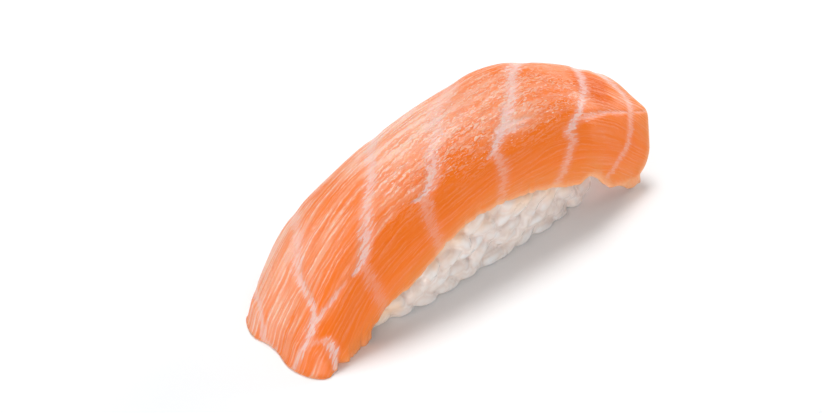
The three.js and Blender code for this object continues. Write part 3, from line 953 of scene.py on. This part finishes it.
    # Low relief of fibres, grooves and beads of moisture, rougher where the flesh is flaky.
    roughness, beads = add_wet_film(tree, place, 40.0, 0.5, 0.32)
    height = plus(tree, times(tree, fine, 0.8), times(tree, grooves, -0.3))
    height = plus(tree, height, times(tree, beads, 0.3))
    height = times(tree, height, ramp(tree, fat_mask, 0.0, 1.0, 1.0, 0.3))
    height = times(tree, height, ramp(tree, near_side, 0.0, 1.0, 1.0, 0.4))
    flakes = plus(tree, flecks, grit)
    flakes = times(tree, flakes, ramp(tree, flaky, 0.0, 1.0, 0.1, 0.65))
    height = plus(tree, height, flakes)
    bump = add_node(tree, "ShaderNodeBump", {"Strength": 0.6, "Distance": 0.0003, "Height": height})
    drier = ramp(tree, patch_tone_and_light, 0.0, -0.6, 0.0, 0.35)
    finish = {
        "Base Color": colour,
        "Normal": bump.outputs[0],
        "Roughness": plus(tree, roughness, drier, clamp=True),
        "Subsurface Weight": 0.35,
        "Subsurface Radius": (1.0, 0.42, 0.16),
        "Subsurface Scale": 0.0005,
        "IOR": 1.33,
        "Specular IOR Level": 0.36,
        "Coat Weight": ramp(tree, patch_tone_and_light, 0.0, -0.6, 0.15, 0.0),
        "Coat Roughness": 0.2,
        "Coat IOR": 1.33,
    }
    fill_inputs(tree, shader, finish)
    return material


def cooked_rice():
    """Sushi rice: translucent warm white grains, moist and a little sticky."""
    material, tree, shader = new_material("cooked_rice")
    place = add_node(tree, "ShaderNodeTexCoord").outputs["Object"]
    from_seam = attribute(tree, "from_seam")
    painted_seam_shade = (0.74, 0.62, 0.56, 1)
    on_grain = (0.785, 0.76, 0.75, 1)
    painted_seam_sheen = (0.86, 0.8, 0.77, 1)
    salmon_bounce_colour = (0.84, 0.56, 0.37, 1)

    cloud = cloudy_noise(tree, place, 420.0, 3.0)
    patchy = cloudy_noise(tree, place, 170.0, 1.0)
    # Painted shade: darker and warmer towards the seams between grains; away from them the grains' tone
    # differs at random.
    tone = times(tree, attribute(tree, "grain_tone"), 0.35)
    tone = plus(tree, ramp(tree, cloud, 0.35, 0.65, 0.25, 0.65), tone)
    tone = times(tree, tone, ramp(tree, from_seam, 0.1, 1.2))
    colour = blend_colours(tree, tone, painted_seam_shade, on_grain)
    # Painted sheen: lighter streaks of light along the seams, over their painted shade.
    seam = ramp(tree, from_seam, 0.5, 0.0)
    painted_sheen_mask = times(tree, seam, ramp(tree, cloud, 0.36, 0.5, 0.4, 0.9))
    colour = blend_colours(tree, painted_sheen_mask, colour, painted_seam_sheen)
    # Painted light: an orange glow bounced from the salmon, nearer the slice and a little in the seams, in
    # patches.
    painted_salmon_glow = ramp(tree, attribute(tree, "from_slice"), 5.0, 0.8, 0.0, 0.75)
    painted_salmon_glow = plus(tree, painted_salmon_glow, times(tree, seam, 0.1))
    painted_salmon_glow = times(tree, painted_salmon_glow, ramp(tree, patchy, 0.38, 0.56, 0.2, 1.0), clamp=True)
    colour = blend_colours(tree, painted_salmon_glow, colour, salmon_bounce_colour)

    roughness, beads = add_wet_film(tree, place, 260.0, 0.45, 0.25)
    height = plus(tree, times(tree, cloud, 0.7), times(tree, beads, 0.6))
    bump = add_node(tree, "ShaderNodeBump", {"Strength": 0.25, "Distance": 0.0003, "Height": height})
    finish = {
        "Base Color": colour,
        "Normal": bump.outputs[0],
        "Roughness": roughness,
        "Subsurface Weight": 1.0,
        "Subsurface Radius": (1.0, 0.9, 0.8),
        "Subsurface Scale": 0.004,
        "Coat Weight": 0.3,
        "Coat Roughness": 0.2,
    }
    fill_inputs(tree, shader, finish)
    return material


# ---- The room: floor, lights and camera ----
# Angles are in degrees. Azimuth 0 is on the -Y side of the nigiri and 90 on its +X side.

# Each soft light's name, azimuth, elevation, distance, width and height in metres, and power in watts.
LIGHTS = [
    ("key", 140, 66, 0.7, 0.24, 0.24, 3.3),
    ("front_fill", -42, 4, 0.9, 0.6, 0.25, 4.8),
    ("right_fill", 85, 16, 0.5, 0.25, 0.25, 0.95),
    ("left_fill", -115, 35, 0.6, 0.3, 0.3, 0.9),
]
LIGHT_TARGET = (0, 0, 0.012)
ROOM_BRIGHTNESS = 0.28

CAMERA_AZIMUTH, CAMERA_ELEVATION = -44.3, 38
CAMERA_DISTANCE = 423  # in millimetres, from a point this high in the nigiri
CAMERA_TARGET_HEIGHT = 11.5
CAMERA_LENS, CAMERA_SENSOR = 100, 36
CAMERA_SHIFT = (-0.045, -0.0189)


def make_floor():
    deselect_all()
    bpy.ops.mesh.primitive_plane_add(size=4)
    floor = bpy.context.object
    floor.name = "floor"
    material, tree, shader = new_material("white_table")
    finish = {"Base Color": (0.93, 0.95, 0.96, 1), "Roughness": 0.9, "Specular IOR Level": 0.2}
    fill_inputs(tree, shader, finish)
    floor.data.materials.append(material)


def direction(azimuth, elevation):
    """The way from the nigiri to a place round it."""
    a, e = math.radians(azimuth), math.radians(elevation)
    return Vector((math.sin(a) * math.cos(e), -math.cos(a) * math.cos(e), math.sin(e)))


def soft_light(name, azimuth, elevation, distance, width, height, power):
    """A soft light that faces the nigiri."""
    back = direction(azimuth, elevation)
    deselect_all()
    bpy.ops.object.light_add(type="AREA", location=Vector(LIGHT_TARGET) + back * distance)
    light = bpy.context.object
    light.name = name
    light.rotation_euler = back.to_track_quat("Z", "Y").to_euler()
    light.data.shape = "RECTANGLE"
    light.data.size = width
    light.data.size_y = height
    light.data.energy = power


def light_room():
    world = bpy.data.worlds.new("studio")
    world.use_nodes = True
    background = world.node_tree.nodes["Background"]
    background.inputs["Color"].default_value = (1, 1, 1, 1)
    background.inputs["Strength"].default_value = ROOM_BRIGHTNESS
    bpy.context.scene.world = world
    for light in LIGHTS:
        soft_light(*light)


def place_camera():
    """The camera looks down at the nigiri from its left end's near side."""
    back = direction(CAMERA_AZIMUTH, CAMERA_ELEVATION)
    target = (np.array([0, 0, CAMERA_TARGET_HEIGHT]) + SHIFT) * MM
    bpy.ops.object.camera_add(location=Vector(target) + back * CAMERA_DISTANCE * MM)
    camera = bpy.context.object
    camera.rotation_euler = back.to_track_quat("Z", "Y").to_euler()
    camera.data.lens = CAMERA_LENS
    camera.data.sensor_width = CAMERA_SENSOR
    camera.data.shift_x, camera.data.shift_y = CAMERA_SHIFT
    camera.data.clip_start = 0.01
    bpy.context.scene.camera = camera


# ---- The nigiri ----

WET_FILM = make_wet_film()

place_camera()
light_room()
make_floor()

salmon = make_slice()
salmon.data.materials.append(salmon_flesh())
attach(salmon, "root")
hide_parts("salmon_slice")

rice = make_rice()
rice.data.materials.clear()
rice.data.materials.append(cooked_rice())
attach(rice, "root")
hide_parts("rice_block")

bpy.context.scene.view_settings.view_transform = "Standard"
